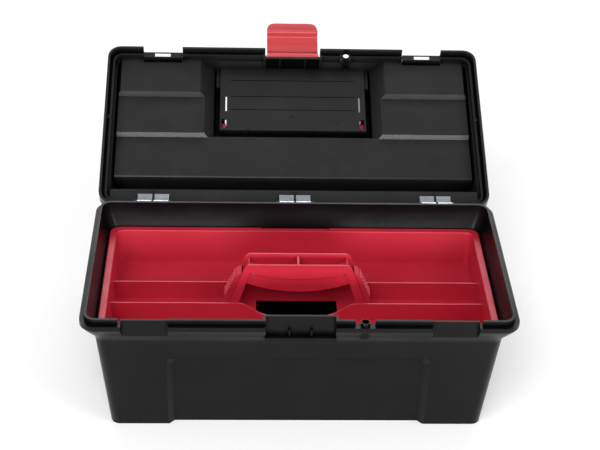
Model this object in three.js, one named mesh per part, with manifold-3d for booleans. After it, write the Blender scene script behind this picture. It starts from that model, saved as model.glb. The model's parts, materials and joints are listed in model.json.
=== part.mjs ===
// Toolbox with a lift-out tray, in millimetres: +X right, -Y front, +Z up, floor at Z = 0.
// The lid stands open. Every lid piece is drawn in its closed place and swung open by its group.
import * as THREE from 'three';
import { mergeVertices } from 'three/addons/utils/BufferGeometryUtils.js';
import Module from 'manifold-3d';

const wasm = await Module();
wasm.setup();

// ---- driving dimensions -------------------------------------------------------------------
const RIM_HALF_X = 207.5; // outer edge of the base flange and of the lid flange
const RIM_HALF_Y = 104.2;
const GAP = 0.3; // kept between pieces that touch

const BASE = {
  floor: 5.2, coveZ: 113, bandZ: 136, ledgeZ: 140.5, lipZ: 145.9, wall: 3.6,
  footInset: 22.2, topInset: 12.7, lipInset: 4.2, lipWall: 2.5,
};
const SHELF_Z = 117.2; // the tray hangs on this shelf
const FRONT_PANEL = { halfX: 127.5, topZ: 92.5, depth: 6, slope: 6, corner: 8, skin: 2.5 };

const LATCH_NOTCH_HALF_X = 33;
const NOTCH_BACK_Y = -93;
const SIDE_NOTCH = { x0: 124.5, x1: 168.3 };
const PADLOCK = { x: 60.5, y: -98.8, hole: 3.4, ring: 4.5, ringTop: 144.4, room: 9.4 };

const HINGE_Y = 105.7;
const HINGE_Z = 139.6;
const HINGE_CENTRES = [['left', -150], ['centre', 0], ['right', 150]];
const PIN_RADIUS = 1.75;
const BARREL_RADIUS = 3.25;
const SHEET = 1.2; // thickness of the steel straps
const KNUCKLE = { inner: 0.9, barrelFrom: 1.2, barrelTo: 16.5, outerFrom: 16.8, outerTo: 19 };

const OPEN_ANGLE = 156 * Math.PI / 180;
const LID_Z = BASE.ledgeZ + 0.4; // closed height of the lid's rim plane
const LID_HEIGHT = 45;
const LID_NOTCH_HALF_X = 31;
const LID_SHELF = 7.3; // height of the rear ledge above the rim plane
const RECESS = { halfX: 76, wall: 5.5, v0: 113.4, v1: 196.5, floor: 25.8, skin: 2 };
const WELL = { outer: 191.5, deepOuter: 193.2, v0: 46.9, v1: 196.2, skin: 2 };
const COVER = { axisX: WELL.outer + 0.2, axisW: 44, pin: 1.1, inner: 82.6, low: 43.3, high: 45.2 };
const COVER_TAB = { x0: 131, x1: 145, reach: 1.1 }; // snap tab on each cover's front edge
// undersides of the wells: three heights, where they step, and how wide each slope is
const TIERS = { front: 11, middle: 16, rear: 20, step1: 150.2, step2: 98, slope: 3.4, rearEdge: 44.5 };

const LATCH_PIVOT = { y: -99.9, w: 9.5, pin: 1.5, barrel: 3.5 };
const LATCH = { halfX: 28.9, length: 51, back: -103, thickness: 3.6 };
const LID_NOTCH_DEPTH = 8.2;
const NOTCH_RIB = { base: 10.4, lid: 14.3, half: 0.7 }; // stiffening ribs in the latch notch, by X
const LID_WINDOW = { x0: 138, x1: 155.5, v0: 198.9, v1: 204 };
const NOTCH_PLATE = { w0: 6, w1: 7.4, wall0: 197.8, wall1: 199.8, front: 204.9 };
const CORNER_BOSS = { x: 121, half: 0.5, offset: 0.7 };
const HANDLE_PIVOT = { v: 120, w: 33.5, radius: 3.2, disc: 5.6, reach: 4.2 };
const HANDLE_SEAT = { x0: 74.2, x1: 79.6, half: 6.1 }; // drop-in slot over each trunnion
const HANDLE_SLIT = { v0: 137, v1: 158 }; // beside the plate

const TRAY = {
  rimInset: 14.2, rimTop: 120.6, bodyInset: 19.2, wall: 2.4, floor: 84.4, bottom: 81.8, lean: 3.6,
};
const DIVIDERS = { rear: 15, front: -20, top: 105, thickness: 2 };
const HAND_HOLE_HALF_X = 41;
const TRAY_HANDLE = { y0: -13, y1: 8, top: 146.3, strip: 1.8, web: 2 };
const LEG = {
  low: TRAY.floor + 0.4, high: TRAY_HANDLE.top - 6.5, foot: 72.8, shoulder: 54, innerFoot: 63, slope: 0.29,
};

// ---- helpers ------------------------------------------------------------------------------
const closedY = (v) => RIM_HALF_Y - 0.1 - v; // v runs forward from the lid's rear edge
const closedZ = (w) => LID_Z + w; // w runs up from the lid's rim plane

function roundedOutline({ x0, x1, y0, y1, r }, steps = 5) {
  const points = [];
  const corners = [[x1 - r, y1 - r], [x0 + r, y1 - r], [x0 + r, y0 + r], [x1 - r, y0 + r]];
  corners.forEach(([cx, cy], quarter) => {
    for (let i = 0; i <= steps; i += 1) {
      const angle = (quarter + i / steps) * Math.PI / 2;
      points.push([cx + r * Math.cos(angle), cy + r * Math.sin(angle)]);
    }
  });
  return points;
}

// A closed body through a stack of rounded rectangles, each { z, x0, x1, y0, y1, r }.
function loft(levels) {
  const rings = levels.map((level) => roundedOutline(level));
  const count = rings[0].length;
  const positions = [];
  const index = [];
  rings.forEach((ring, k) => ring.forEach(([x, y]) => positions.push(x, y, levels[k].z)));
  for (let k = 0; k + 1 < rings.length; k += 1) {
    for (let i = 0; i < count; i += 1) {
      const a = k * count + i;
      const b = k * count + (i + 1) % count;
      index.push(a, b, b + count, a, b + count, a + count);
    }
  }
  const top = (rings.length - 1) * count;
  for (let i = 1; i + 1 < count; i += 1) {
    index.push(0, i + 1, i, top, top + i, top + i + 1);
  }
  const geometry = new THREE.BufferGeometry();
  geometry.setAttribute('position', new THREE.Float32BufferAttribute(positions, 3));
  geometry.setIndex(index);
  return solid(geometry);
}

function solid(geometry) {
  const bare = geometry.clone();
  bare.deleteAttribute('normal');
  bare.deleteAttribute('uv');
  const merged = mergeVertices(bare, 1e-4);
  const corners = merged.index.array;
  const kept = [];
  for (let i = 0; i < corners.length; i += 3) {
    const [a, b, c] = [corners[i], corners[i + 1], corners[i + 2]];
    if (a !== b && b !== c && c !== a) kept.push(a, b, c);
  }
  return new wasm.Manifold(new wasm.Mesh({
    numProp: 3,
    vertProperties: Float32Array.from(merged.attributes.position.array),
    triVerts: Uint32Array.from(kept),
  }));
}

function box(x0, x1, y0, y1, z0, z1) {
  const geometry = new THREE.BoxGeometry(x1 - x0, y1 - y0, z1 - z0);
  geometry.translate((x0 + x1) / 2, (y0 + y1) / 2, (z0 + z1) / 2);
  return solid(geometry);
}

// A box in the closed lid's own directions: X, v forward from the rear edge, w up from the rim.
const lidBox = (x0, x1, v0, v1, w0, w1) => box(x0, x1, closedY(v1), closedY(v0), closedZ(w0), closedZ(w1));

function rodX(radius, x0, x1, y, z, sides = 24) {
  const geometry = new THREE.CylinderGeometry(radius, radius, x1 - x0, sides);
  geometry.rotateZ(Math.PI / 2);
  geometry.translate((x0 + x1) / 2, y, z);
  return solid(geometry);
}

function rodY(radius, y0, y1, x, z, sides = 16) {
  const geometry = new THREE.CylinderGeometry(radius, radius, y1 - y0, sides);
  geometry.translate(x, (y0 + y1) / 2, z);
  return solid(geometry);
}

function rodZ(radius, z0, z1, x, y, sides = 24) {
  const geometry = new THREE.CylinderGeometry(radius, radius, z1 - z0, sides);
  geometry.rotateX(Math.PI / 2);
  geometry.translate(x, y, (z0 + z1) / 2);
  return solid(geometry);
}

function shapeOf(points) {
  return points instanceof THREE.Shape
    ? points
    : new THREE.Shape(points.map(([a, b]) => new THREE.Vector2(a, b)));
}

// A (Y, Z) outline carried along X.
function alongX(points, x0, x1) {
  const geometry = new THREE.ExtrudeGeometry(shapeOf(points), { depth: x1 - x0, bevelEnabled: false });
  const [X, Y, Z] = [0, 1, 2].map((k) => new THREE.Vector3().setComponent(k, 1));
  geometry.applyMatrix4(new THREE.Matrix4().makeBasis(Y, Z, X));
  geometry.translate(x0, 0, 0);
  return solid(geometry);
}

// An (X, Z) outline carried along Y.
function alongY(points, y0, y1) {
  const options = { depth: y1 - y0, bevelEnabled: false, curveSegments: 10 };
  const geometry = new THREE.ExtrudeGeometry(shapeOf(points), options);
  geometry.rotateX(Math.PI / 2);
  geometry.translate(0, y1, 0);
  return solid(geometry);
}

// An outline of (v, w) pairs of the closed lid, carried along X.
const lidProfile = (points, x0, x1) => alongX(points.map(([v, w]) => [closedY(v), closedZ(w)]), x0, x1);
// An outline of (X, w) pairs of the closed lid, carried from v0 to v1.
const lidSection = (points, v0, v1) => (
  alongY(points.map(([x, w]) => [x, closedZ(w)]), closedY(v1), closedY(v0))
);

// A level set back from the rim by e, and by lean more at the front and rear.
const inset = (z, e, r, lean = 0) => ({
  z, r, x0: -RIM_HALF_X + e, x1: RIM_HALF_X - e,
  y0: -RIM_HALF_Y + e + lean, y1: RIM_HALF_Y - e - lean,
});
const lidInset = (w, e, r) => inset(closedZ(w), e, r);
const join = (...solids) => solids.reduce((a, b) => a.add(b));
const cut = (body, ...tools) => tools.reduce((a, b) => a.subtract(b), body);
const mirrored = (make) => [make(-1), make(1)];
const span = (side, x0, x1) => (side > 0 ? [x0, x1] : [-x1, -x0]);

function piece(name, body, colour, roughness, metalness = 0) {
  const mesh = body.getMesh();
  const geometry = new THREE.BufferGeometry();
  geometry.setAttribute('position', new THREE.BufferAttribute(Float32Array.from(mesh.vertProperties), 3));
  geometry.setIndex(new THREE.BufferAttribute(Uint32Array.from(mesh.triVerts), 1));
  const material = new THREE.MeshStandardMaterial({ color: colour, roughness, metalness });
  const node = new THREE.Mesh(geometry, material);
  node.name = name;
  return node;
}
const black = (name, body) => piece(name, body, 0x1c1c1e, 0.5);
const red = (name, body) => piece(name, body, 0xb81d30, 0.35);
const steel = (name, body) => piece(name, body, 0xa9afb6, 0.35, 1);

// ---- base ---------------------------------------------------------------------------------
const wallSlope = (BASE.footInset - BASE.topInset) / BASE.coveZ;

function baseOutside() {
  return loft([
    inset(0, 23.2, 8),
    inset(0.7, 22.5, 9),
    inset(2.4, BASE.footInset, 10),
    inset(BASE.coveZ, BASE.topInset, 11),
    inset(118, 11.2, 11),
    inset(124, 7.4, 12),
    inset(130, 3.4, 13),
    inset(134, 0.9, 14),
    inset(BASE.bandZ, 0, 14),
    inset(BASE.ledgeZ, 0, 14),
    inset(BASE.ledgeZ, BASE.lipInset, 12),
    inset(BASE.lipZ, BASE.lipInset, 12),
  ]);
}

function baseCavity() {
  return loft([
    inset(BASE.floor, BASE.footInset + BASE.wall, 7.5),
    inset(110, BASE.topInset + BASE.wall, 8.5),
    inset(115.5, 17, 8),
    inset(SHELF_Z, 17, 8),
    inset(SHELF_Z, 13.6, 9),
    inset(134, 7.4, 9.5),
    inset(150, BASE.lipInset + BASE.lipWall, 9.6),
  ]);
}

// The recessed panel of the front wall (side = -1) or the rear wall (side = 1): a body that
// follows the wall's draft, from `outer` mm outside the wall to `inner` mm inside it.
function wallPanel(side, outer, inner, grow) {
  const { halfX, topZ, slope, corner } = FRONT_PANEL;
  const level = (depth, extra) => ({
    z: -depth, x0: -halfX - grow + extra, x1: halfX + grow - extra,
    y0: -30, y1: topZ + grow - extra, r: corner,
  });
  const mouth = Math.max(0, inner - FRONT_PANEL.depth);
  const panel = loft([level(inner, slope), level(mouth, 0), level(-outer, 0)]);
  const draft = side * wallSlope;
  const wallAtFloor = side * (RIM_HALF_Y - BASE.footInset);
  // local (x, y, z) becomes world (x * turn, wall - side * depth, y)
  const place = new THREE.Matrix4().set(
    -side, 0, 0, 0,
    0, draft, side, wallAtFloor,
    0, 1, 0, 0,
    0, 0, 0, 1,
  );
  return panel.transform(place.elements);
}

function rimPocket(x0, x1, backY, topZ, floorZ) {
  const skin = 2.3;
  return box(x0 - skin, x1 + skin, -RIM_HALF_Y + 0.6, backY + skin, floorZ - skin, topZ);
}

function knuckles(x) {
  const [y, z] = [HINGE_Y, HINGE_Z];
  const web = [
    [y + 3.2, z + 1], [y + 1, z + 3.4], [y - 2.5, z + 3.4], [y - 7, z], [y - 9, z - 8], [y - 2, z - 4],
  ];
  const plates = [[-KNUCKLE.outerTo, -KNUCKLE.outerFrom], [-KNUCKLE.inner, KNUCKLE.inner],
    [KNUCKLE.outerFrom, KNUCKLE.outerTo]];
  return join(...plates.map(([a, b]) => join(
    rodX(BARREL_RADIUS + 0.3, x + a, x + b, y, z),
    alongX(web, x + a, x + b),
  )));
}

function barrelRoom(x, side) {
  const [from, to] = span(side, KNUCKLE.barrelFrom - GAP, KNUCKLE.barrelTo + GAP);
  return join(
    rodX(BARREL_RADIUS + 0.45, x + from, x + to, HINGE_Y, HINGE_Z),
    box(x + from, x + to, HINGE_Y - BARREL_RADIUS - 0.45, HINGE_Y + 6, HINGE_Z - 1, BASE.lipZ + 2),
  );
}

function baseShell() {
  const outside = baseOutside();
  let body = cut(outside, baseCavity());
  for (const side of [-1, 1]) {
    const { depth, skin } = FRONT_PANEL;
    const thicker = wallPanel(side, -1, depth + skin, skin).intersect(outside);
    body = join(body, thicker);
  }
  const flangeOutside = loft([inset(100, 16, 12), inset(BASE.coveZ, BASE.topInset, 12), inset(124, 7.4, 12),
    inset(134, 4.2, 12), inset(BASE.lipZ, BASE.lipInset, 12)]);
  const pockets = [rimPocket(-LATCH_NOTCH_HALF_X, LATCH_NOTCH_HALF_X, NOTCH_BACK_Y, BASE.lipZ, 112)];
  for (const side of [-1, 1]) {
    pockets.push(rimPocket(...span(side, SIDE_NOTCH.x0, SIDE_NOTCH.x1), -97.3, 143.4, 117.5));
  }
  body = join(body, join(...pockets).intersect(flangeOutside));
  body = cut(body, box(-LATCH_NOTCH_HALF_X, LATCH_NOTCH_HALF_X, -110, NOTCH_BACK_Y, 100, 150));
  for (const side of [-1, 1]) {
    const [x0, x1] = span(side, SIDE_NOTCH.x0, SIDE_NOTCH.x1);
    const [s0, s1] = span(side, SIDE_NOTCH.x1, SIDE_NOTCH.x1 + 2.8);
    body = cut(
      body,
      box(x0, x1, -110, -97.3, 117.5, 150),
      box(x0, x1, -110, -90, 143.4, 150),
      box(s0, s1, -101, -94, BASE.ledgeZ, 150),
      wallPanel(side, 3, FRONT_PANEL.depth, 0),
    );
  }
  const barHalf = LATCH_NOTCH_HALF_X + 1;
  const catchBar = box(-barHalf, barHalf, -98.6, NOTCH_BACK_Y + 0.5, 120.5, 124);
  const ribs = mirrored((side) => {
    const x = side * NOTCH_RIB.base;
    return box(x - NOTCH_RIB.half, x + NOTCH_RIB.half, -96.6, NOTCH_BACK_Y + 0.5, 123, 132);
  });
  body = join(body, catchBar, ...ribs);
  const { x: eyeX, y: eyeY, hole, room } = PADLOCK;
  body = cut(body, box(eyeX - room, eyeX + room, -101, -94, BASE.ledgeZ, 150));
  body = cut(
    join(body, rodZ(PADLOCK.ring, 130, PADLOCK.ringTop, eyeX, eyeY)),
    rodZ(hole, 100, 150, eyeX, eyeY),
    rodZ(hole + 0.9, 100, 133, eyeX, eyeY),
  );
  for (const [, x] of HINGE_CENTRES) {
    body = join(body, knuckles(x));
    body = cut(body, barrelRoom(x, -1), barrelRoom(x, 1));
    body = cut(body, rodX(PIN_RADIUS + 0.05, x - 17.9, x + 17.9, HINGE_Y, HINGE_Z));
  }
  return black('base_shell', body);
}

function hingePin(name, x) {
  return steel(`hinge_pin_${name}`, rodX(PIN_RADIUS, x - 17.6, x + 17.6, HINGE_Y, HINGE_Z));
}

// ---- lid (closed place) -------------------------------------------------------------------
function lidOutside() {
  return loft([
    lidInset(0, 0, 14), lidInset(13, 0, 14), lidInset(15, 8, 11), lidInset(38, 9.4, 11),
    lidInset(42, 10.8, 11), lidInset(44.2, 13, 11), lidInset(LID_HEIGHT, 16, 11),
  ]);
}

function lidCavity() {
  return loft([
    lidInset(-1, 3.7, 11), lidInset(5.6, 3.7, 11), lidInset(5.6, 7.8, 9), lidInset(12.5, 7.8, 9),
    lidInset(12.5, 10.1, 8), lidInset(38, 11.5, 8), lidInset(42.8, 15.8, 7),
  ]);
}

// The channel between the lid's outer skirt and the land that meets the base's lip.
function skirtChannel() {
  const level = (e, r) => loft([lidInset(-1, e, r), lidInset(10.6, e, r)]);
  return cut(level(2.6, 12), level(5.6, 10));
}

// The stepped underside of the small-parts wells, seen from below the closed lid.
function wellUnderside(grow, top) {
  const { front, middle, rear, step1, step2, slope, rearEdge } = TIERS;
  const [a, b, c] = [front + grow, middle + grow, rear + grow];
  const [s1, s2, edge] = [step1 - grow * 0.2, step2 - grow * 0.2, rearEdge + grow];
  const steps = [
    [WELL.v1 + 5, top], [WELL.v1 + 5, a], [s1 + slope, a], [s1, b], [s2 + slope, b], [s2, c],
    [edge + 4.5, c], [edge + 1.8, c + 1.2], [edge + 0.5, c + 3.4], [edge, top],
  ];
  return lidProfile(steps, -200, 200);
}

function sideBlock(side, grow, top) {
  const section = [
    [192.5 - grow, TIERS.front], [194.2 - grow, TIERS.front + 2], [195.6 - grow, top], [86.4 + grow, top],
    [88.4 + grow, 26], [102 + grow, TIERS.front + 1.5], [104 + grow, TIERS.front],
  ];
  return lidSection(section.map(([x, w]) => [x * side, w]), 30, 202);
}

function lidShell() {
  const outside = lidOutside();
  let body = cut(outside, lidCavity(), skirtChannel());
  const roof = lidBox(-190, 190, 20, 188, 42, 44);
  const blocks = mirrored((side) => sideBlock(side, 0, 44));
  const rearBlock = lidBox(-194, 194, 30, TIERS.step2 + 1, TIERS.rear, 44);
  const undersides = join(...blocks, rearBlock).intersect(wellUnderside(0, 44)).intersect(outside);
  const recessBox = lidBox(
    -RECESS.halfX - RECESS.wall, RECESS.halfX + RECESS.wall,
    RECESS.v0 - 2.5, 201, RECESS.floor - RECESS.skin, 44,
  ).intersect(outside);
  const slotFill = lidBox(-86, 86, 172, 201, 27, 44);
  const shelf = lidBox(-196, 196, 5, 21, LID_SHELF, LID_SHELF + 2.2);
  body = join(body, roof, undersides, recessBox, slotFill, shelf);
  body = cut(body, lidBox(-RECESS.halfX, RECESS.halfX, RECESS.v0, RECESS.v1, RECESS.floor, 50));
  body = cut(body, ...wellHollows());
  body = lidFront(body);
  body = lidHinges(body);
  return black('lid_shell', lidHandleSeats(body));
}

function wellHollows() {
  const inside = wellUnderside(WELL.skin, 60);
  const sides = mirrored((side) => {
    const room = sideBlock(side, WELL.skin, 60).intersect(inside);
    const limits = join(
      lidBox(...span(side, 80, WELL.outer), WELL.v0, WELL.v1 - 2, 5, 60),
      lidBox(...span(side, 80, WELL.deepOuter), WELL.v0, WELL.v1 - 2, 5, COVER.axisW - 3.4),
    );
    const seat = lidBox(...span(side, 82.2, WELL.outer + 1.6), WELL.v0 - 1.6, WELL.v1, COVER.low - GAP, 60);
    return join(room.intersect(limits), seat);
  });
  const rear = lidBox(-78, 78, WELL.v0, TIERS.step2 - 1.2, TIERS.rear + WELL.skin, 60).intersect(inside);
  const middleRib = lidBox(-0.9, 0.9, WELL.v0 - 1, TIERS.step2, TIERS.rear, 38);
  return [...sides, cut(rear, middleRib)];
}

function lidFront(start) {
  let body = start;
  const half = LID_NOTCH_HALF_X;
  const notchV = 208 - LID_NOTCH_DEPTH;
  const pocket = lidBox(-half - 2.3, half + 2.3, notchV - 2.4, 207, 5.5, 26);
  body = join(body, pocket.intersect(lidOutside()));
  body = cut(body, lidBox(-half, half, notchV, 212, -2, 17.5));
  body = join(body, lidBox(-half, half, notchV - 2.4, notchV, 5.3, 24));
  for (const side of [-1, 1]) {
    const [x0, x1] = span(side, SIDE_NOTCH.x0, SIDE_NOTCH.x1);
    const { w0, w1, wall0, wall1, front } = NOTCH_PLATE;
    body = cut(body, lidBox(x0, x1, front, 212, -2, 20), lidBox(x0, x1, 196, 212, -2, w0));
    body = join(cut(body, lidBox(x0, x1, wall1, 212, w1, 20)), lidBox(x0, x1, wall0, wall1, w0, 15));
    body = join(body, lidBox(x0, x1, wall0, front, w0, w1));
    const [g0, g1] = span(side, LID_WINDOW.x0, LID_WINDOW.x1);
    body = cut(body, lidBox(g0, g1, LID_WINDOW.v0, LID_WINDOW.v1, w0 - 1, w1));
    for (const offset of [-CORNER_BOSS.offset, CORNER_BOSS.offset]) {
      const x = side * CORNER_BOSS.x + offset;
      body = join(body, lidBox(x - CORNER_BOSS.half, x + CORNER_BOSS.half, 199.5, 204, 5.4, 7));
    }
    const ribX = side * NOTCH_RIB.lid;
    const [r0, r1] = [ribX - NOTCH_RIB.half, ribX + NOTCH_RIB.half];
    body = join(body, lidBox(r0, r1, notchV - 2.4, notchV + 0.6, 6, 22));
  }
  const { x, y: eyeY, hole, ring } = PADLOCK;
  const { w1, wall0, wall1 } = NOTCH_PLATE;
  const boss = rodZ(ring, closedZ(5.6), closedZ(24), x, closedY(198.6));
  body = join(body, boss.intersect(lidBox(40, 80, 190, wall1, 5.6, 24)));
  const [e0, e1] = [x - 5.6, x + 5.6];
  body = cut(body, lidBox(e0, e1, wall1, 212, w1, 20));
  body = join(body, lidBox(e0, e1, wall0, wall1, 5.6, 15), lidBox(e0, e1, wall0, 207.5, 5.6, w1));
  body = cut(
    body,
    rodZ(hole, closedZ(-1), closedZ(w1), x, eyeY),
    rodZ(ring + 0.5, closedZ(-1), closedZ(5.6), x, eyeY),
    rodZ(3.2, closedZ(5), closedZ(22), x, closedY(wall0 - 1.6)),
  );
  const pinHole = LID_NOTCH_HALF_X + 2.9;
  const [y, z] = [LATCH_PIVOT.y, closedZ(LATCH_PIVOT.w)];
  return cut(body, rodX(LATCH_PIVOT.pin + 0.05, -pinHole, pinHole, y, z, 16));
}

function lidHinges(start) {
  let body = start;
  for (const [, x] of HINGE_CENTRES) {
    const half = KNUCKLE.outerTo + 0.5;
    const room = lidBox(x - half, x + half, -1, 3.4, -1, 5.3);
    const slotHalf = KNUCKLE.barrelTo + GAP;
    const slot = lidBox(x - slotHalf, x + slotHalf, -1, 8.2, 4, LID_SHELF);
    body = cut(body, room, slot);
    const rib = lidBox(x - 0.6, x + 0.6, 7.5, 20.5, 5.6, LID_SHELF + 0.5);
    body = join(body, rib);
  }
  return body;
}

function lidHandleSeats(start) {
  const y = closedY(HANDLE_PIVOT.v);
  const z = closedZ(HANDLE_PIVOT.w);
  const reach = RECESS.halfX + 3.6;
  let body = cut(start, rodX(HANDLE_PIVOT.radius + 0.3, -reach, reach, y, z));
  for (const side of [-1, 1]) {
    const { v, w } = HANDLE_PIVOT;
    const { half } = HANDLE_SEAT;
    const seat = span(side, HANDLE_SEAT.x0, HANDLE_SEAT.x1);
    body = cut(body, lidBox(...seat, v - half, v + half, 20, w), rodX(half, ...seat, y, z));
    body = cut(body, lidBox(...span(side, 73.9, 75.6), HANDLE_SLIT.v0, HANDLE_SLIT.v1, 20, 30));
    const socketZ = closedZ(COVER.axisW);
    const socketX = side * COVER.axisX;
    const tabSeat = span(side, COVER_TAB.x0 - 1, COVER_TAB.x1 + 1);
    body = cut(
      body,
      rodY(COVER.pin + GAP, closedY(WELL.v1 + 1.6), closedY(WELL.v0 - 3.2), socketX, socketZ),
      lidBox(...tabSeat, WELL.v1 - 1, WELL.v1 + 1.2, 41, 50),
    );
  }
  return body;
}

// Steel strap: a tab on the rear ledge, a leg through the rear wall and two rolled barrels.
function hingeStrap(name, x) {
  const legY = HINGE_Y - BARREL_RADIUS;
  const [tabLow, tabHigh] = [closedZ(LID_SHELF - GAP - SHEET), closedZ(LID_SHELF - GAP)];
  const halves = mirrored((side) => {
    const [from, to] = span(side, KNUCKLE.barrelFrom, KNUCKLE.barrelTo);
    return join(
      rodX(BARREL_RADIUS, x + from, x + to, HINGE_Y, HINGE_Z),
      box(x + from, x + to, legY, legY + SHEET, HINGE_Z, tabHigh),
      box(x + from, x + to, closedY(14.4), legY + SHEET, tabLow, tabHigh),
    );
  });
  const bridge = box(x - 2, x + 2, closedY(7.2), closedY(5), tabLow, tabHigh);
  const bore = rodX(PIN_RADIUS + 0.08, x - 18, x + 18, HINGE_Y, HINGE_Z);
  return steel(`hinge_strap_${name}`, cut(join(...halves, bridge), bore));
}

// ---- latch --------------------------------------------------------------------------------
function latchBody() {
  const y = LATCH_PIVOT.y;
  const z = closedZ(LATCH_PIVOT.w);
  const { back, thickness, length } = LATCH;
  const front = back - thickness;
  const side = [
    [y + 1, z + 3.4], [back - 0.6, z + 3.2], [front + 0.6, z + 1.6], [front, z - 1], [front, z - length + 3],
    [front + 1, z - length], [back - 0.4, z - length], [back, z - length + 1], [back, z - 34.5],
    [back + 7.6, z - 34.5], [back + 8, z - 33.9], [back + 8, z - 31.2], [back + 7.4, z - 30.6],
    [back + 0.6, z - 30.6], [back, z - 30], [back, z - 6], [y + 1, z - 3.3],
  ];
  const plate = alongX(side, -LATCH.halfX, LATCH.halfX);
  const barrel = rodX(LATCH_PIVOT.barrel, -LATCH.halfX, LATCH.halfX, y, z);
  const face = new THREE.Shape();
  const [half, low, round] = [LATCH.halfX, z - length, 11];
  face.moveTo(-half, z + 5);
  face.lineTo(-half, low + round);
  face.quadraticCurveTo(-half, low, -half + round, low);
  face.lineTo(half - round, low);
  face.quadraticCurveTo(half, low, half, low + round);
  face.lineTo(half, z + 5);
  const outline = alongY(face, -120, -80);
  const ribs = [z - 20, z - 9].map(
    (at) => box(-half + 1, half - 1, back - 0.2, back + 0.9, at - 0.6, at + 0.6),
  );
  const moulded = join(plate, barrel, ...ribs).intersect(outline);
  return cut(moulded, rodX(LATCH_PIVOT.pin + GAP, -40, 40, y, z, 16));
}

function latchPin() {
  const half = LID_NOTCH_HALF_X + 2.5;
  return steel('latch_pin', rodX(LATCH_PIVOT.pin, -half, half, LATCH_PIVOT.y, closedZ(LATCH_PIVOT.w), 16));
}

// ---- carry handle (folded place) ----------------------------------------------------------
function carryHandle() {
  const [y, z] = [closedY(HANDLE_PIVOT.v), closedZ(HANDLE_PIVOT.w)];
  const level = (w, shrink) => ({
    z: closedZ(w), x0: -73.2 + shrink, x1: 73.2 - shrink,
    y0: closedY(193) + shrink, y1: closedY(HANDLE_PIVOT.v - HANDLE_PIVOT.reach) - shrink, r: 9,
  });
  const hollow = (w, shrink) => ({
    z: closedZ(w), x0: -62 - shrink, x1: 62 + shrink,
    y0: closedY(172) - shrink, y1: closedY(90), r: 7,
  });
  const block = loft([level(28, 2), level(30, 0), level(37, 0), level(39.5, 2.4)]);
  const gap = loft([hollow(27, 1.6), hollow(29.5, 0), hollow(37, 0), hollow(40, 2)]);
  const reach = RECESS.halfX + 3.1;
  const trunnions = rodX(HANDLE_PIVOT.radius, -reach, reach, y, z);
  const discs = mirrored((side) => rodX(HANDLE_PIVOT.disc, ...span(side, 74.8, reach), y, z));
  const between = box(-66, 66, y - 8, y + 8, z - 12, z + 12);
  const grip = join(...[-1, 1].map((s) => rodX(5.4, ...span(s, 0, 58), closedY(182.5), closedZ(36))));
  return red('carry_handle', join(cut(block, gap), cut(trunnions, between), ...discs, grip));
}

// ---- small-parts covers -------------------------------------------------------------------
function wellCover(side) {
  const [v0, v1] = [WELL.v0 - 1.2, WELL.v1 - 0.4];
  const plate = lidBox(...span(side, COVER.inner, COVER.axisX), v0, v1, COVER.low, COVER.high - 0.1);
  const [x, z] = [side * COVER.axisX, closedZ(COVER.axisW)];
  const pins = rodY(COVER.pin, closedY(v1 + 1.6), closedY(v0 - 1.6), x, z);
  const field = lidBox(...span(side, COVER.inner + 9, COVER.axisX - 9), v0 + 9, v1 - 9, COVER.high - 0.9, 50);
  const [t0, t1] = span(side, COVER_TAB.x0, COVER_TAB.x1);
  const tab = lidBox(t0, t1, v1 - 1, v1 + COVER_TAB.reach, COVER.low, COVER.high - 0.1);
  return black(side < 0 ? 'well_cover_left' : 'well_cover_right', join(cut(plate, field), pins, tab));
}

// ---- tray ---------------------------------------------------------------------------------
function traySolid() {
  const { rimInset, rimTop, bodyInset, wall, floor, bottom, lean } = TRAY;
  const body = loft([
    inset(bottom, bodyInset + 3.2, 7, lean), inset(bottom + 1.2, bodyInset + 2.2, 7.5, lean),
    inset(117.6, bodyInset, 8),
    inset(117.6, rimInset, 9.5), inset(rimTop - 0.8, rimInset, 9.5), inset(rimTop, rimInset + 0.9, 9.5),
  ]);
  const room = loft([
    inset(floor, bodyInset + wall + 2.2, 5, lean), inset(floor + 3, bodyInset + wall + 1.6, 6, lean),
    inset(rimTop - 1, bodyInset + wall, 7), inset(rimTop + 1, bodyInset + wall - 1.6, 8),
  ]);
  return cut(body, room);
}

function trayBody() {
  const half = RIM_HALF_X - TRAY.bodyInset - TRAY.wall + 0.5;
  const scoop = new THREE.Shape();
  scoop.moveTo(-60, 120);
  scoop.lineTo(-60, DIVIDERS.top);
  scoop.bezierCurveTo(-48, DIVIDERS.top, -40, 89, -26, 89);
  scoop.lineTo(26, 89);
  scoop.bezierCurveTo(40, 89, 48, DIVIDERS.top, 60, DIVIDERS.top);
  scoop.lineTo(60, 120);
  const walls = [DIVIDERS.rear, DIVIDERS.front].map((y) => {
    const t = DIVIDERS.thickness / 2;
    const plate = alongX([[y - t - 0.5, TRAY.floor - 1], [y + t + 0.5, TRAY.floor - 1],
      [y + t - 0.2, DIVIDERS.top], [y - t + 0.2, DIVIDERS.top]], -half, half);
    return y === DIVIDERS.front ? cut(plate, alongY(scoop, y - 5, y + 5)) : plate;
  });
  const floorTop = TRAY.floor + 0.6;
  const holeHalf = HAND_HOLE_HALF_X;
  const hole = box(-holeHalf, holeHalf, DIVIDERS.front + 1.6, DIVIDERS.rear - 1.6, 70, floorTop);
  const rearStep = box(-36, 36, 84, 92, 119.2, 125);
  return cut(join(traySolid(), ...walls), hole, rearStep);
}

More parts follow.
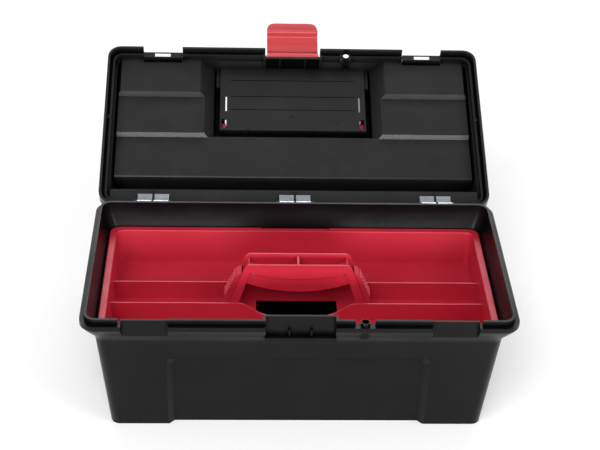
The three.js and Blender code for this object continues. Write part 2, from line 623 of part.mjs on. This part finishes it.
// The arch: slanted legs and a deep grip whose lower edge sags to the middle. `set` draws the outer
// edge in.
function archShape(gripLow, gripEnd, set) {
  const shape = new THREE.Shape();
  const { low, high, foot, shoulder, innerFoot, slope } = LEG;
  const top = TRAY_HANDLE.top - set;
  const inner = innerFoot - (gripEnd - low) * slope;
  shape.moveTo(-foot + set, low);
  shape.lineTo(-innerFoot, low);
  shape.lineTo(-inner, gripEnd);
  shape.quadraticCurveTo(0, 2 * gripLow - gripEnd, inner, gripEnd);
  shape.lineTo(innerFoot, low);
  shape.lineTo(foot - set, low);
  shape.lineTo(shoulder - set, high - set);
  shape.quadraticCurveTo(shoulder - set - 1.6, top, shoulder - set - 7, top);
  shape.lineTo(-shoulder + set + 7, top);
  shape.quadraticCurveTo(-shoulder + set + 1.6, top, -shoulder + set, high - set);
  return shape;
}

// The sprung lever on the outside of a leg, with finger ridges across it.
function lever(side) {
  const { y0, y1 } = TRAY_HANDLE;
  const outline = [[56, 134], [61.2, 131.5], [73, 105], [72.4, 97], [68, 94], [62, 98]];
  const body = alongY(outline.map(([x, z]) => [side * x, z]), y0 + 3.2, y1 - 3.2);
  const ridges = [];
  for (let i = 0; i < 6; i += 1) {
    const along = 0.12 + i * 0.16;
    ridges.push(rodY(1, y0 + 3.2, y1 - 3.2, side * (61.2 + 11.8 * along), 131.5 - 26.5 * along, 10));
  }
  return join(body, ...ridges);
}

function trayHandle() {
  const { y0, y1, top, strip, web } = TRAY_HANDLE;
  const grip = alongY(archShape(112.8, 123, web), y0 + strip, y1 - strip);
  const strips = [[y0, y0 + strip + 0.1], [y1 - strip - 0.1, y1]];
  const faces = strips.map(([a, b]) => alongY(archShape(129.4, 136.6, 0), a, b));
  const hollow = [[-46, 133], [46, 133], [50, top - 9], [46.5, top + 1], [-46.5, top + 1], [-50, top - 9]];
  const channel = alongY(hollow, y0 + strip, y1 - strip);
  const rib = box(-0.9, 0.9, y0 + 1, y1 - 1, 132, top - 1.5);
  return red('tray_handle', join(cut(join(grip, ...faces), channel), rib, lever(-1), lever(1)));
}

// ---- assembly -----------------------------------------------------------------------------
function turnedAbout(angle, y, z, ...nodes) {
  const group = new THREE.Group();
  group.position.set(0, y, z);
  group.rotation.x = angle;
  for (const node of nodes) {
    node.position.set(0, -y, -z);
    group.add(node);
  }
  return group;
}

const latch = red('latch', latchBody());
const latchGroup = turnedAbout(-Math.PI / 2, LATCH_PIVOT.y, closedZ(LATCH_PIVOT.w), latch);
const [handleY, handleZ] = [closedY(HANDLE_PIVOT.v), closedZ(HANDLE_PIVOT.w)];
const handleGroup = turnedAbout(-Math.PI / 2, handleY, handleZ, carryHandle());
const lidPieces = new THREE.Group();
lidPieces.add(lidShell(), latchPin(), latchGroup, handleGroup, wellCover(-1), wellCover(1));
for (const [name, x] of HINGE_CENTRES) lidPieces.add(hingeStrap(name, x));

const toolbox = new THREE.Group();
toolbox.add(baseShell(), red('tray', trayBody()), trayHandle());
for (const [name, x] of HINGE_CENTRES) toolbox.add(hingePin(name, x));
toolbox.add(turnedAbout(-OPEN_ANGLE, HINGE_Y, HINGE_Z, lidPieces));

export default toolbox;
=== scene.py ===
# Toolbox with a lift-out tray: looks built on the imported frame. Metres, +X right, -Y front, +Z up.
import json
import math

import bmesh
import bpy
from mathutils import Matrix, Vector


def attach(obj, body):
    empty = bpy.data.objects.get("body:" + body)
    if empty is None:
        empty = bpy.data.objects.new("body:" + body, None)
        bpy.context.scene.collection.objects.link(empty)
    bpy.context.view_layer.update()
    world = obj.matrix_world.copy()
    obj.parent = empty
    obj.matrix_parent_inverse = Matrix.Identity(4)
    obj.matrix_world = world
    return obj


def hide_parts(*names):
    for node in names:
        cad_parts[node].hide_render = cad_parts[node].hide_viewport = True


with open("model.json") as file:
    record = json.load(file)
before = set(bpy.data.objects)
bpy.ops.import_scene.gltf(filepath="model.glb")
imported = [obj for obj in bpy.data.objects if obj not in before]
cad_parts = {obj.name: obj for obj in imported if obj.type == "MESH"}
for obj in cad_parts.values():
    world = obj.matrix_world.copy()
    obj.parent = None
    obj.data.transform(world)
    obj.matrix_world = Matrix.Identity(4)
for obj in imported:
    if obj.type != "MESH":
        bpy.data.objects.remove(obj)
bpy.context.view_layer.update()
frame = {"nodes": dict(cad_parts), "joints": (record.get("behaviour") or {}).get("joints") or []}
MM = 0.001
EDGE_ANGLE = math.radians(32)  # corners sharper than this are rounded
SHARP_ANGLE = math.radians(38)  # corners sharper than this stay hard in the shading
FLAT_ANGLE = math.radians(0.3)  # CAD faces closer than this to one plane are merged

# ---- the closed lid's own coordinates, opened about the hinge --------------------------------
HINGE = next(joint for joint in frame["joints"] if joint["name"] == "lid_hinge")
HINGE_AT = Vector(HINGE["pos_m"])
CLOSED = math.radians(HINGE["range_deg"][0])  # the frame stands open, at an angle of 0
OPEN_LID = (Matrix.Translation(HINGE_AT) @ Matrix.Rotation(-CLOSED, 4, Vector(HINGE["axis"]))
            @ Matrix.Translation(-HINGE_AT))
RIM_Y, RIM_Z = 104.1 * MM, 140.9 * MM  # the closed lid's rear edge and the plane of its rim
PLATE_W = 23.8  # underside of the plate between the side wells
NOTCH_V = 197.5  # inner face of the wall behind the lid's latch notch
BASE_FRONT = -104.2  # outer edge of the base's flange, in mm

CAMERA_AT = (-0.05516, -1.13468, 0.96609)
CAMERA_DOWN = math.radians(34.485)  # how far it looks down
CAMERA_TURN = math.radians(2.813)  # how far it is turned towards +X
CAMERA_ROLL = math.radians(2.026)
CAMERA_LENS = 84.8334  # focal length in mm, on a sensor 36 mm wide


def on_lid(x, v, w):
    """A point of the open lid, in mm: X, v forward from the closed rear edge, w up from the rim."""
    return OPEN_LID @ Vector((x * MM, RIM_Y - v * MM, RIM_Z + w * MM))


# ---- materials -------------------------------------------------------------------------------
class Nodes:
    def __init__(self, name):
        self.material = bpy.data.materials.new(name)
        self.material.use_nodes = True
        self.tree = self.material.node_tree
        self.shader = self.tree.nodes["Principled BSDF"]
        self.place = self.add("ShaderNodeTexCoord").outputs["Object"]

    def add(self, kind, **inputs):
        node = self.tree.nodes.new(kind)
        for key, value in inputs.items():
            node.inputs[key.replace("_", " ")].default_value = value
        return node

    def link(self, out, into):
        self.tree.links.new(out, into)

    def noise(self, scale, detail=3.0, roughness=0.5, stretch=None):
        node = self.add("ShaderNodeTexNoise", Scale=scale, Detail=detail, Roughness=roughness)
        source = self.place
        if stretch:
            mapping = self.add("ShaderNodeMapping", Scale=stretch)
            self.link(source, mapping.inputs["Vector"])
            source = mapping.outputs["Vector"]
        self.link(source, node.inputs["Vector"])
        return node.outputs["Fac"]

    def spread(self, value, low, high, to_low, to_high):
        node = self.add("ShaderNodeMapRange")
        node.inputs["From Min"].default_value = low
        node.inputs["From Max"].default_value = high
        node.inputs["To Min"].default_value = to_low
        node.inputs["To Max"].default_value = to_high
        self.link(value, node.inputs["Value"])
        return node.outputs["Result"]

    def ramp(self, value, stops):
        node = self.add("ShaderNodeValToRGB")
        node.color_ramp.elements[0].position = stops[0][0]
        node.color_ramp.elements[0].color = (*stops[0][1], 1)
        node.color_ramp.elements[1].position = stops[-1][0]
        node.color_ramp.elements[1].color = (*stops[-1][1], 1)
        for position, colour in stops[1:-1]:
            node.color_ramp.elements.new(position).color = (*colour, 1)
        self.link(value, node.inputs["Fac"])
        return node.outputs["Color"]

    def bumps(self, *layers):
        normal = None
        for height, strength, distance in layers:
            node = self.add("ShaderNodeBump", Strength=strength, Distance=distance)
            self.link(height, node.inputs["Height"])
            if normal:
                self.link(normal, node.inputs["Normal"])
            normal = node.outputs["Normal"]
        self.link(normal, self.shader.inputs["Normal"])


def black_plastic(name, tones, shine, shade_reach):
    """Moulded plastic with painted shade: its colour and its shine are darkened in hollows up to the
    given distance in metres.
    """
    m = Nodes(name)
    colour = m.ramp(m.noise(38, 5, 0.6), [(0.3, tones[0]), (0.7, tones[1])])
    # painted shade: ambient occlusion darkens the colour in hollows, corners and creases
    hollow_shade = m.add("ShaderNodeAmbientOcclusion", Distance=shade_reach)
    hollow_shade.samples = 6
    m.link(colour, hollow_shade.inputs["Color"])
    m.link(hollow_shade.outputs["Color"], m.shader.inputs["Base Color"])
    m.link(m.spread(m.noise(16, 6, 0.62), 0.3, 0.7, 0.26, 0.38), m.shader.inputs["Roughness"])
    # painted shade: the shine is lowered in the same hollows
    gloss = m.spread(hollow_shade.outputs["AO"], 0.35, 0.95, 0.04, shine)
    m.link(gloss, m.shader.inputs["Specular IOR Level"])
    m.bumps((m.noise(2600, 2, 0.5), 0.16, 0.00012), (m.noise(26, 2, 0.4), 0.10, 0.0006))
    return m.material


def red_plastic(name, colours, rough):
    m = Nodes(name)
    colour = m.ramp(m.noise(14, 4, 0.55), [(0.3, colours[0]), (0.7, colours[1])])
    m.link(colour, m.shader.inputs["Base Color"])
    m.link(m.spread(m.noise(22, 5, 0.6), 0.3, 0.7, rough[0], rough[1]), m.shader.inputs["Roughness"])
    m.shader.inputs["Specular IOR Level"].default_value = 0.34
    m.shader.inputs["Subsurface Weight"].default_value = 0.10
    m.shader.inputs["Subsurface Radius"].default_value = (0.004, 0.0008, 0.0006)
    m.bumps((m.noise(1400, 2, 0.5), 0.05, 0.0001), (m.noise(18, 2, 0.4), 0.08, 0.0006))
    return m.material


def zinc_steel():
    m = Nodes("galvanised_steel")
    m.shader.inputs["Metallic"].default_value = 1
    grain = m.noise(160, 4, 0.6, stretch=(0.15, 6, 1))
    colour = m.ramp(grain, [(0.3, (0.50, 0.54, 0.60)), (0.7, (0.66, 0.69, 0.74))])
    m.link(colour, m.shader.inputs["Base Color"])
    m.link(m.spread(m.noise(120, 5, 0.6), 0.3, 0.7, 0.26, 0.42), m.shader.inputs["Roughness"])
    m.bumps((grain, 0.2, 0.0001))
    return m.material


BLACK = black_plastic(
    "black_polypropylene", ((0.008, 0.008, 0.009), (0.012, 0.012, 0.0135)), 0.5, 0.016)
# painted shade: a darker, less shiny copy of the lid's black plastic, which makes the base read darker
# than the lid
SHADED_BASE_BLACK = black_plastic(
    "shaded_base_polypropylene", ((0.0015, 0.0015, 0.002), (0.003, 0.003, 0.0035)), 0.14, 0.004)
RED = red_plastic("red_polypropylene", ((0.44, 0.014, 0.033), (0.50, 0.019, 0.041)), (0.34, 0.46))
LATCH_RED = red_plastic(
    "latch_polypropylene", ((0.45, 0.048, 0.058), (0.50, 0.058, 0.066)), (0.34, 0.46))
# painted shade: a near-black that stands in for the dark of deep slots, channels and creases, on thin
# plates laid over them
SHADE_BLACK = black_plastic(
    "shaded_polypropylene", ((0.0006, 0.0006, 0.0007), (0.001, 0.001, 0.001)), 0.05, 0.01)
STEEL = zinc_steel()


# ---- pieces ----------------------------------------------------------------------------------
def dress(piece, body, material, bevel=0.0):
    """Rounds a piece's edges, smooths its shading and joins it to its body."""
    piece.data.materials.clear()
    piece.data.materials.append(material)
    bpy.context.view_layer.objects.active = piece
    if bevel:
        cut = piece.modifiers.new("edges", "BEVEL")
        cut.width = bevel
        cut.segments = 2
        cut.limit_method = "ANGLE"
        cut.angle_limit = EDGE_ANGLE
        cut.use_clamp_overlap = True
        cut.miter_outer = "MITER_ARC"
    for face in piece.data.polygons:
        face.use_smooth = True
    piece.data.set_sharp_from_angle(angle=SHARP_ANGLE)
    even = piece.modifiers.new("even", "WEIGHTED_NORMAL")
    even.weight = 100
    even.keep_sharp = True
    graph = bpy.context.evaluated_depsgraph_get()
    finished = bpy.data.meshes.new_from_object(piece.evaluated_get(graph))
    piece.modifiers.clear()
    piece.data = finished
    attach(piece, body)


def place_mesh(name, mesh):
    piece = bpy.data.objects.new(name, mesh)
    bpy.context.scene.collection.objects.link(piece)
    return piece


def new_piece(name, corners, faces, body, material, bevel=0.0):
    """A closed piece from its corners in world metres and its faces, with outward normals."""
    mesh = bpy.data.meshes.new(name)
    mesh.from_pydata(corners, [], faces)
    shape = bmesh.new()
    shape.from_mesh(mesh)
    bmesh.ops.recalc_face_normals(shape, faces=shape.faces)
    shape.to_mesh(mesh)
    shape.free()
    dress(place_mesh(name, mesh), body, material, bevel)


def finished_copy(node, body, material, bevel):
    """The CAD node's shape with its flat faces merged and its edges rounded."""
    shape = bmesh.new()
    shape.from_mesh(frame["nodes"][node].data)
    bmesh.ops.remove_doubles(shape, verts=shape.verts, dist=1e-6)
    bmesh.ops.dissolve_limit(shape, angle_limit=FLAT_ANGLE, verts=shape.verts, edges=shape.edges)
    many_sided = [face for face in shape.faces if len(face.verts) > 4]
    bmesh.ops.triangulate(shape, faces=many_sided, ngon_method="BEAUTY")
    mesh = bpy.data.meshes.new(f"{node}_moulded")
    shape.to_mesh(mesh)
    shape.free()
    piece = place_mesh(f"{node}_moulded", mesh)
    dress(piece, body, material, bevel)
    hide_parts(node)


finished_copy("base_shell", "base", SHADED_BASE_BLACK, 0.0005)
finished_copy("lid_shell", "lid", BLACK, 0.0004)
finished_copy("tray", "tray", RED, 0.0006)
finished_copy("tray_handle", "tray", RED, 0.0005)
finished_copy("carry_handle", "carry_handle", RED, 0.0007)
finished_copy("latch", "latch", LATCH_RED, 0.0005)
for side in ("left", "right"):
    finished_copy(f"well_cover_{side}", f"well_cover_{side}", BLACK, 0.0004)
for place in ("left", "centre", "right"):
    finished_copy(f"hinge_strap_{place}", "lid", STEEL, 0.0002)
    finished_copy(f"hinge_pin_{place}", "base", STEEL, 0.0002)
finished_copy("latch_pin", "lid", STEEL, 0.0002)


# ---- moulded details -------------------------------------------------------------------------
def lid_block(name, x, v, w, material=BLACK, bevel=0.0002):
    """A box in the closed lid's own millimetres, riding on the lid."""
    corners = [on_lid(x[i], v[j], w[k]) for i in (0, 1) for j in (0, 1) for k in (0, 1)]
    faces = [(0, 1, 3, 2), (4, 6, 7, 5), (0, 4, 5, 1), (2, 3, 7, 6), (0, 2, 6, 4), (1, 5, 7, 3)]
    new_piece(name, corners, faces, "lid", material, bevel)


def lid_ring(name, x, v, w, radius, thick):
    """A faint round witness line that a mould leaves on the lid's underside."""
    around, section = 40, 8
    verts, faces = [], []
    for i in range(around):
        a = 2 * math.pi * i / around
        for k in range(section):
            b = 2 * math.pi * k / section
            r = radius + thick * math.cos(b)
            verts.append(on_lid(x + r * math.cos(a), v + r * math.sin(a), w + thick * 0.5 * math.sin(b)))
    for i in range(around):
        for k in range(section):
            n, m = (i + 1) % around, (k + 1) % section
            faces.append((i * section + k, n * section + k, n * section + m, i * section + m))
    new_piece(name, verts, faces, "lid", BLACK)


def span(side, near, far):
    return sorted((side * near, side * far))


def latch_notch():
    """The ribs and sides of the latch notch, with thin near-black sheets of painted shade over the
    notch's back and over the slots behind the side notches.
    """
    # painted shade: a thin near-black sheet over the back of the notch
    lid_block("latch_notch_back_shade", (-30.4, 30.4), (NOTCH_V - 0.6, NOTCH_V), (6.2, 22.6), SHADE_BLACK)
    wall = (NOTCH_V - 1.3, NOTCH_V)
    for side, name in ((-1, "left"), (1, "right")):
        lid_block(f"latch_notch_rib_{name}", span(side, 13.8, 14.8), wall, (6.0, 23.4))
        lid_block(f"latch_notch_side_{name}", span(side, 30.4, 31.4), wall, (6.0, 23.6))
        slot = span(side, 124.8, 168.0)
        lid_block(f"catch_slot_shade_{name}", slot, (194.4, 197.6), (10.85, 11.4), SHADE_BLACK)


def padlock_channel_shade():
    """Painted shade for the channel under the padlock ring: a thin near-black sheet on the flared front
    of the base.
    """
    flare = [(118.5, 10.9), (124, 7.4), (130, 3.4), (133.4, 1.3)]  # height and set-back, in mm
    outside, inside = -0.15, 1.0  # the sheet's two faces, in mm behind the flare
    corners = [Vector((x * MM, (back + shift + BASE_FRONT) * MM, z * MM))
               for x in (57.0, 64.0) for shift in (outside, inside) for z, back in flare]
    count = len(flare)
    far = 2 * count
    quads = []
    for outer in range(count - 1):
        inner = outer + count
        quads += [
            (outer, outer + 1, far + outer + 1, far + outer),
            (inner, inner + 1, far + inner + 1, far + inner),
            (outer, outer + 1, inner + 1, inner),
            (far + outer, far + outer + 1, far + inner + 1, far + inner),
        ]
    for end in (0, count - 1):
        quads.append((end, count + end, 3 * count + end, far + end))
    new_piece("padlock_channel_shade", corners, quads, "base", SHADE_BLACK)


def plate_details():
    for number, v in enumerate((139.25, 157.5, 180.0), 1):
        # painted shade: the creases are thin near-black strips that stand in for the dark of the plate's
        # creases
        crease = (PLATE_W - 0.12, PLATE_W + 0.3)
        lid_block(f"plate_crease_shade_{number}", (-70, 70), (v - 0.3, v + 0.3), crease, SHADE_BLACK, 0)
    lid_ring("plate_gate_ring", 0, 131, PLATE_W, 2.6, 0.35)
    lid_block("plate_gate", (-0.9, 0.9), (130.1, 131.9), (PLATE_W - 0.9, PLATE_W + 0.3))
    for name, x, v in (("left_front", -50.2, 126.3), ("left_rear", -50.2, 113.6),
                       ("right_front", 49.0, 123.5), ("right_rear", 49.0, 113.6)):
        clip = (PLATE_W - 0.7, PLATE_W + 0.3)
        lid_block(f"plate_clip_{name}", (x - 1.6, x + 1.6), (v - 1.2, v + 1.2), clip)


def lid_marks():
    """Ejector marks on the wells' undersides and the small clips on the side skirts."""
    for name, x, v, w, radius in (
        ("left_middle", -148, 136, 16, 4.2), ("right_middle", 148, 136, 16, 4.2),
        ("left_rear", -184, 56.5, 20, 3.2), ("right_rear", 184, 56.5, 20, 3.2),
        ("left_front", -148, 176, 11, 4.2), ("right_front", 152, 179, 11, 4.2),
    ):
        lid_ring(f"ejector_mark_{name}", x, v, w, radius, 0.12)
    for side, name in ((-1, "left"), (1, "right")):
        lid_block(f"skirt_clip_{name}", span(side, 200.2, 204.4), (113.4, 116.2), (5.2, 5.75))


latch_notch()
padlock_channel_shade()
plate_details()
lid_marks()


# ---- stage, light and camera -----------------------------------------------------------------
def stage_floor():
    """A pale floor that curves up into a wall behind the box."""
    mesh = bpy.data.meshes.new("studio_floor")
    size, depth, rise, radius, steps = 14.0, 3.0, 6.0, 1.2, 24
    profile = [(-size, 0.0), (depth, 0.0)]
    for i in range(1, steps + 1):
        a = math.pi / 2 * i / steps
        profile.append((depth + radius * math.sin(a), radius - radius * math.cos(a)))
    profile.append((depth + radius, rise))
    verts = [(x, y, z) for y, z in profile for x in (-size, size)]
    faces = [(2 * i, 2 * i + 1, 2 * i + 3, 2 * i + 2) for i in range(len(profile) - 1)]
    mesh.from_pydata(verts, [], faces)
    floor = place_mesh("studio_floor", mesh)
    for face in mesh.polygons:
        face.use_smooth = True
    m = Nodes("studio_floor")
    m.shader.inputs["Base Color"].default_value = (0.93, 0.93, 0.93, 1)
    m.shader.inputs["Roughness"].default_value = 0.9
    mesh.materials.append(m.material)


def softbox(name, at, aim, size, power):
    data = bpy.data.lights.new(name, "AREA")
    data.shape = "RECTANGLE"
    data.size, data.size_y = size
    data.energy = power
    lamp = bpy.data.objects.new(name, data)
    lamp.location = at
    lamp.rotation_euler = (Vector(aim) - Vector(at)).to_track_quat("-Z", "Y").to_euler()
    bpy.context.scene.collection.objects.link(lamp)


def studio_world(strength):
    """Even white light from all round."""
    world = bpy.data.worlds.new("studio")
    world.use_nodes = True
    background = world.node_tree.nodes["Background"]
    background.inputs["Color"].default_value = (1, 1, 1, 1)
    background.inputs["Strength"].default_value = strength
    bpy.context.scene.world = world


def camera():
    """The camera of the photo: its view across, up and along, from the turn, the pitch and the roll."""
    level = math.cos(CAMERA_DOWN)
    look = Vector((math.sin(CAMERA_TURN) * level, math.cos(CAMERA_TURN) * level, -math.sin(CAMERA_DOWN)))
    right = Vector((math.cos(CAMERA_TURN), -math.sin(CAMERA_TURN), 0))
    up = right.cross(look)
    across = math.cos(CAMERA_ROLL) * right + math.sin(CAMERA_ROLL) * up
    above = -math.sin(CAMERA_ROLL) * right + math.cos(CAMERA_ROLL) * up
    data = bpy.data.cameras.new("camera")
    data.sensor_width = 36
    data.lens = CAMERA_LENS
    data.clip_end = 50
    view = bpy.data.objects.new("camera", data)
    rotation = Matrix((across, above, -look)).transposed().to_4x4()
    view.matrix_world = Matrix.Translation(CAMERA_AT) @ rotation
    bpy.context.scene.collection.objects.link(view)
    bpy.context.scene.camera = view


stage_floor()
softbox("key_light", at=(-0.9, -1.4, 1.9), aim=(0, 0, 0.1), size=(1.8, 1.4), power=36)
softbox("fill_light", at=(1.5, -0.9, 1.4), aim=(0, 0, 0.1), size=(1.2, 1.2), power=16)
softbox("back_light", at=(0.1, 2.0, 1.6), aim=(0, 0.1, 0.12), size=(2.4, 0.9), power=30)
softbox("front_light", at=(0.0, -2.4, 0.62), aim=(0, 0.1, 0.16), size=(1.8, 0.5), power=46)
studio_world(strength=0.36)
bpy.context.scene.view_settings.view_transform = "Standard"
camera()
